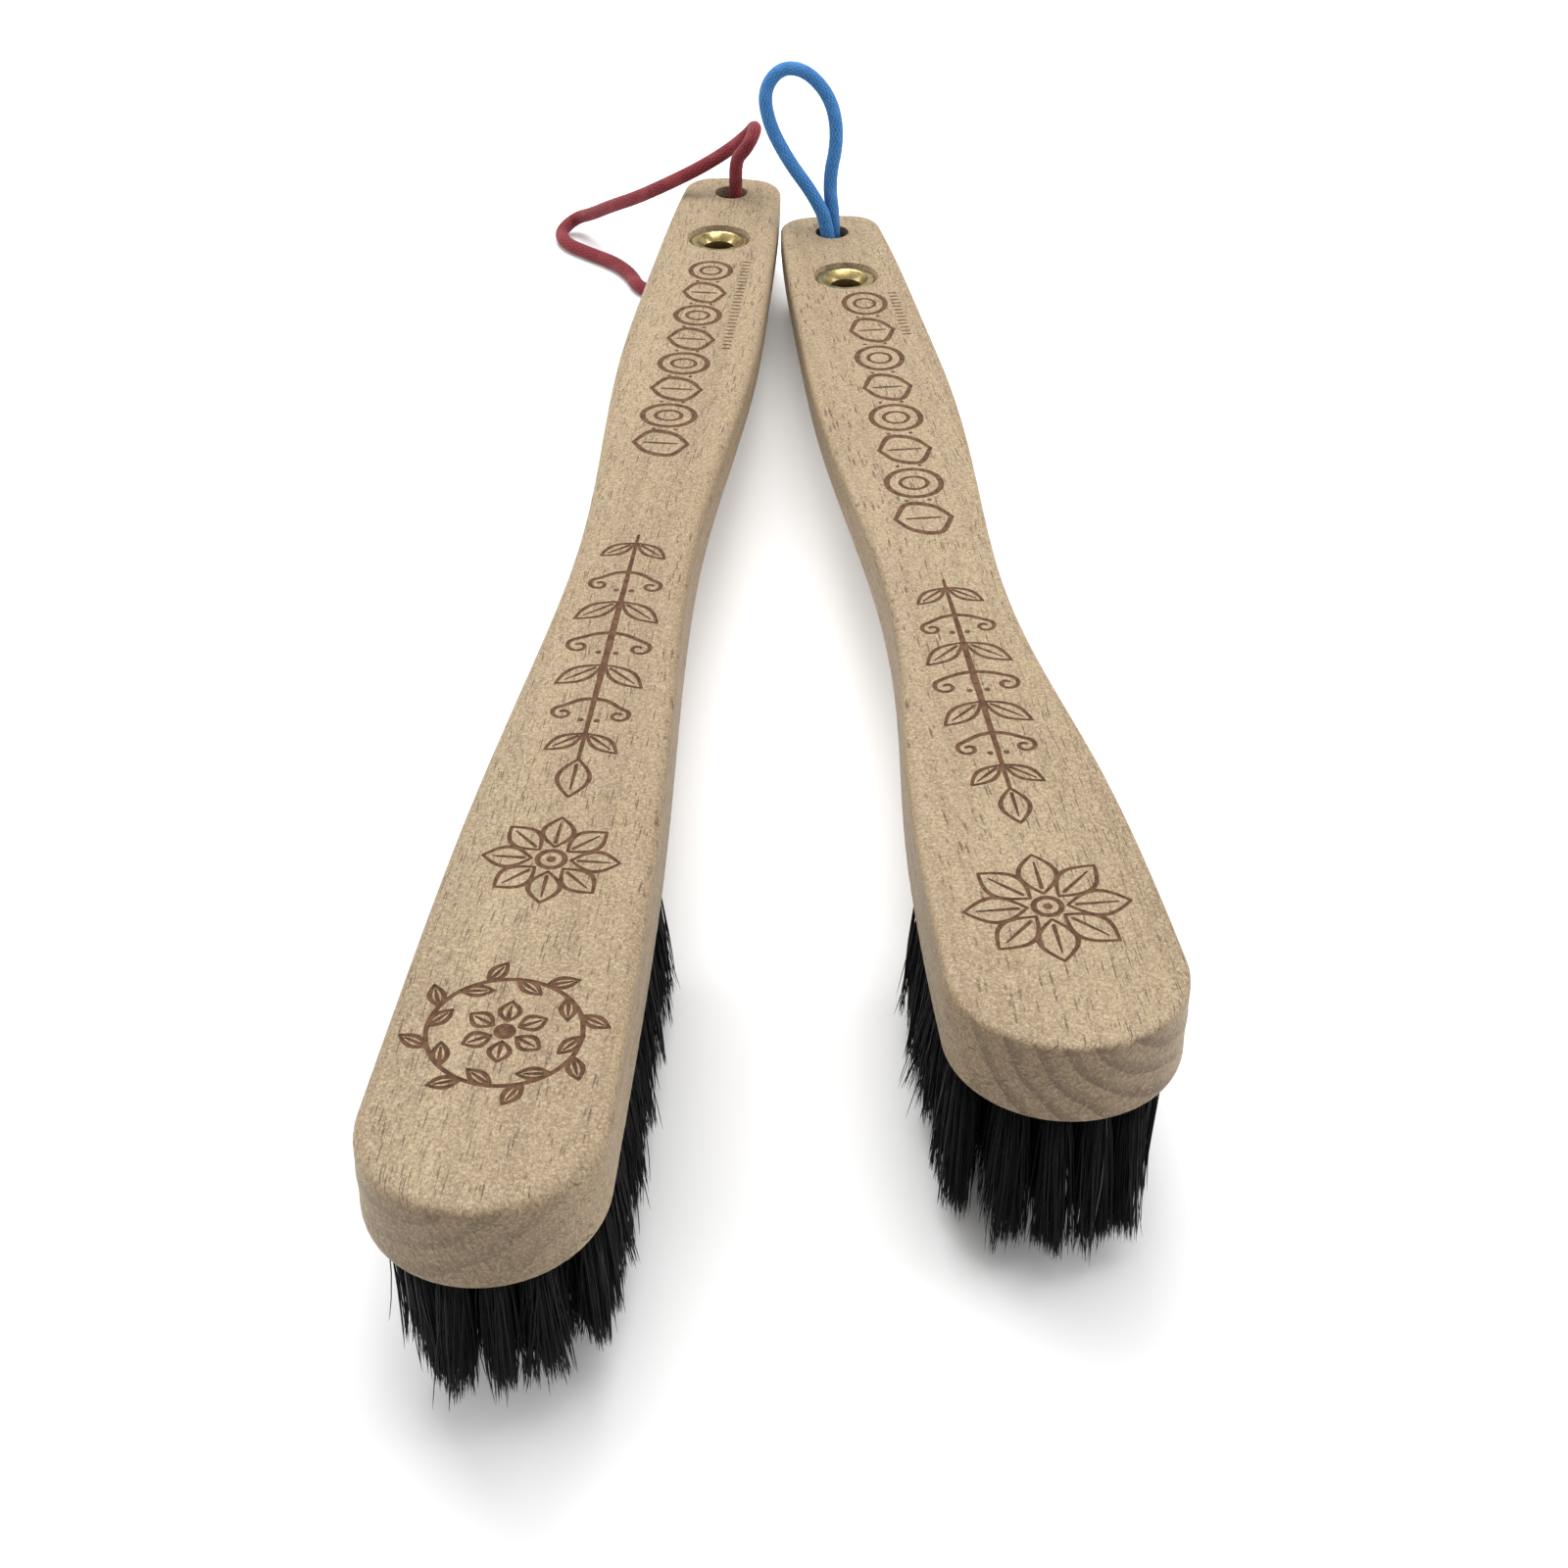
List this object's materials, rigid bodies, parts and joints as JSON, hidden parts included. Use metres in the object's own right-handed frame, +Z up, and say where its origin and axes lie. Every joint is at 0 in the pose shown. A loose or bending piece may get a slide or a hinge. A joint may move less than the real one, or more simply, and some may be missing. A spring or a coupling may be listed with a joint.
{
  "type": "pair of hand brushes",
  "caption": "Large and small long-handled beech brushes with dark bristle tufts, a brass insert and an elastic cord loop in each handle.",
  "frame": {"origin": "on the supporting surface, below the middle of the pair without its cords", "axes": "+Z up, +Y from the brush heads towards the handle ends, +X towards the small brush"},
  "size_m": [0.1121, 0.3405, 0.0552],
  "materials": {
    "beech": "sanded bare beech with burnt brown engraving",
    "brass": "bright turned",
    "bristle": "natural black hair, trimmed",
    "anchor_wire": "flattened wire",
    "cord_red": "braided elastic cord, dark red",
    "cord_blue": "braided elastic cord, blue"
  },
  "bodies": {
    "large_brush": {"large_anchors_1": "anchor_wire", "large_anchors_2": "anchor_wire", "large_anchors_3": "anchor_wire", "large_anchors_4": "anchor_wire", "large_anchors_5": "anchor_wire", "large_anchors_6": "anchor_wire", "large_cord": "cord_red", "large_cord_knot": "cord_red", "large_insert": "brass", "large_stock": "beech", "large_tufts_1": "bristle", "large_tufts_2": "bristle", "large_tufts_3": "bristle", "large_tufts_4": "bristle", "large_tufts_5": "bristle", "large_tufts_6": "bristle"},
    "small_brush": {"small_anchors_1": "anchor_wire", "small_anchors_2": "anchor_wire", "small_anchors_3": "anchor_wire", "small_anchors_4": "anchor_wire", "small_anchors_5": "anchor_wire", "small_anchors_6": "anchor_wire", "small_cord": "cord_blue", "small_cord_knot": "cord_blue", "small_insert": "brass", "small_stock": "beech", "small_tufts_1": "bristle", "small_tufts_2": "bristle", "small_tufts_3": "bristle", "small_tufts_4": "bristle", "small_tufts_5": "bristle", "small_tufts_6": "bristle"}
  },
  "joints": [
    {"name": "small_brush_lift", "type": "slide", "parent": "large_brush", "child": "small_brush", "axis": [0, 0, 1], "range_m": [0, 0.12]}
  ]
}
